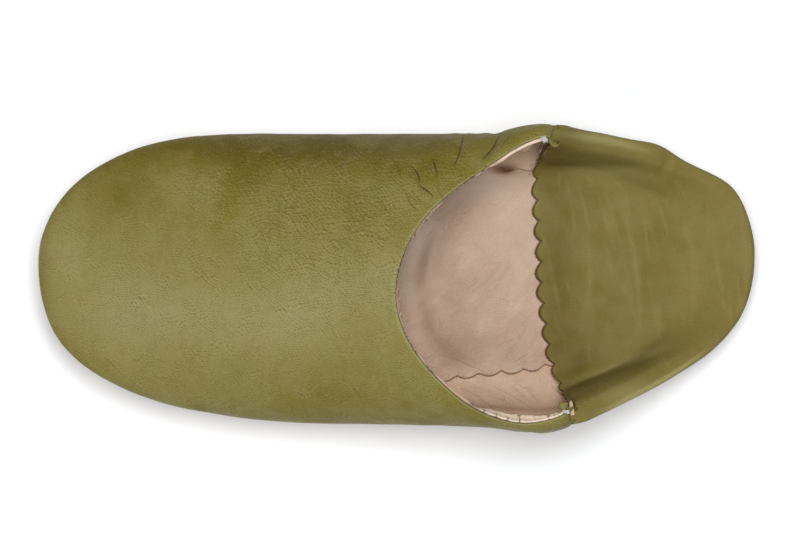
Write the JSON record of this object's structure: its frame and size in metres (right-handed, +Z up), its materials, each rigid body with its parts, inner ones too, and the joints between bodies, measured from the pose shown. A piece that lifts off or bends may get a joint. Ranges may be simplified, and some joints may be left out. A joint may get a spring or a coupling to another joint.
{
  "type": "leather slipper",
  "caption": "Soft leather slipper for the left foot, with a cupped sole sewn edge to edge to the upper and the heel folded down over a padded insole.",
  "frame": {"origin": "bottom centre of the slipper's bounding box, on the floor that it stands on", "axes": "+X from heel to toe, the longest extent; +Y to the outer side of the left foot; +Z up"},
  "size_m": [0.275, 0.1172, 0.0786],
  "materials": {
    "sole_leather": "matte",
    "insole_leather": "satin",
    "vamp_leather": "satin",
    "quarter_leather": "satin"
  },
  "bodies": {
    "root": {"sole": "sole_leather", "insole": "insole_leather", "upper_vamp": "vamp_leather", "upper_quarter": "quarter_leather"}
  },
  "joints": []
}
